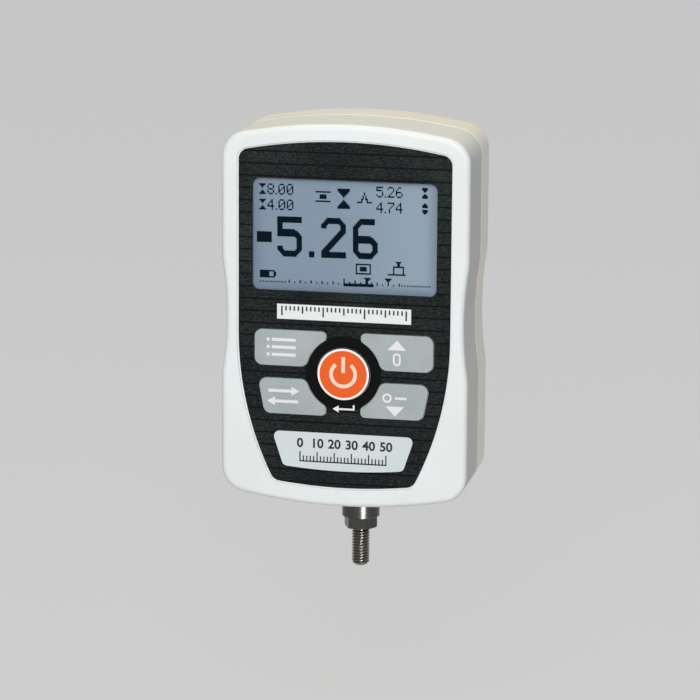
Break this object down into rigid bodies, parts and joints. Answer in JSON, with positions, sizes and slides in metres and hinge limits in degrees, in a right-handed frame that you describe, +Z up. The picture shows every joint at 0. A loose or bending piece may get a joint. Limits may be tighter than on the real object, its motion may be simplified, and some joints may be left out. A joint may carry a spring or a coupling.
{
  "type": "force gauge",
  "caption": "Handheld digital force gauge with a waisted two-part die-cast housing, membrane keys, a display and a threaded loading shaft.",
  "frame": {"origin": "centre of the four mounting holes on the flat back face", "axes": "+X to the right of someone reading the display, +Y out of the back, +Z up along the load line, away from the shaft"},
  "size_m": [0.0656, 0.0322, 0.1239],
  "materials": {
    "front_casting": "smooth satin light grey paint on a die casting",
    "rear_casting": "smooth satin paint on a die casting",
    "overlay": "fine-textured dark polyester with thin black lines",
    "window": "clear, slightly matt",
    "label": "satin printed film",
    "key_sheet": "clear polyester film",
    "function_key": "embossed satin film",
    "power_key": "embossed satin film with a white ring",
    "spring_steel": "bright",
    "display_frame": "moulded",
    "display_glass": "polarised glass",
    "backlight": "diffusing block",
    "circuit_board": "solder mask",
    "chip": "moulded",
    "connector": "tinned shell",
    "screw_steel": "zinc plated",
    "battery": "shrink sleeve",
    "load_cell": "machined",
    "shaft_steel": "polished stainless steel",
    "insert_steel": "machined"
  },
  "bodies": {
    "housing": {"front_cover": "front_casting", "rear_cover": "rear_casting", "graphic_overlay": "overlay", "display_window": "window", "label_plate": "label", "key_spacer": "key_sheet", "keypad_circuit": "key_sheet", "display_frame": "display_frame", "display_glass": "display_glass", "backlight": "backlight", "main_board": "circuit_board", "board_chips": "chip", "buzzer": "chip", "tail_socket": "chip", "io_connector": "connector", "io_posts": "screw_steel", "usb_socket": "connector", "power_jack": "chip", "battery_pack": "battery", "battery_strap": "screw_steel", "load_cell": "load_cell", "overload_stop": "shaft_steel", "dowel_insert": "insert_steel", "mount_inserts": "insert_steel", "joint_screws": "screw_steel", "board_screws": "screw_steel", "strap_screws": "screw_steel", "cell_screws": "screw_steel", "yoke_screws": "screw_steel", "dome_menu": "spring_steel", "dome_zero": "spring_steel", "dome_data": "spring_steel", "dome_mode": "spring_steel", "dome_power": "spring_steel"},
    "shaft": {"load_shaft": "shaft_steel"},
    "menu_key": {"key_menu": "function_key"},
    "zero_key": {"key_zero": "function_key"},
    "data_key": {"key_data": "function_key"},
    "mode_key": {"key_mode": "function_key"},
    "power_key": {"key_power": "power_key"}
  },
  "joints": [
    {"name": "shaft_travel", "type": "slide", "parent": "housing", "child": "shaft", "axis": [0, 0, 1], "range_m": [-0.00025, 0.00025], "stiffness_N_per_m": 4000, "deforming": ["load_cell"]},
    {"name": "menu_press", "type": "slide", "parent": "housing", "child": "menu_key", "axis": [0, 1, 0], "range_m": [0, 0.0003], "stiffness_N_per_m": 400, "deforming": ["dome_menu"]},
    {"name": "zero_press", "type": "slide", "parent": "housing", "child": "zero_key", "axis": [0, 1, 0], "range_m": [0, 0.0003], "stiffness_N_per_m": 400, "deforming": ["dome_zero"]},
    {"name": "data_press", "type": "slide", "parent": "housing", "child": "data_key", "axis": [0, 1, 0], "range_m": [0, 0.0003], "stiffness_N_per_m": 400, "deforming": ["dome_data"]},
    {"name": "mode_press", "type": "slide", "parent": "housing", "child": "mode_key", "axis": [0, 1, 0], "range_m": [0, 0.0003], "stiffness_N_per_m": 400, "deforming": ["dome_mode"]},
    {"name": "power_press", "type": "slide", "parent": "housing", "child": "power_key", "axis": [0, 1, 0], "range_m": [0, 0.0003], "stiffness_N_per_m": 400, "deforming": ["dome_power"]}
  ]
}
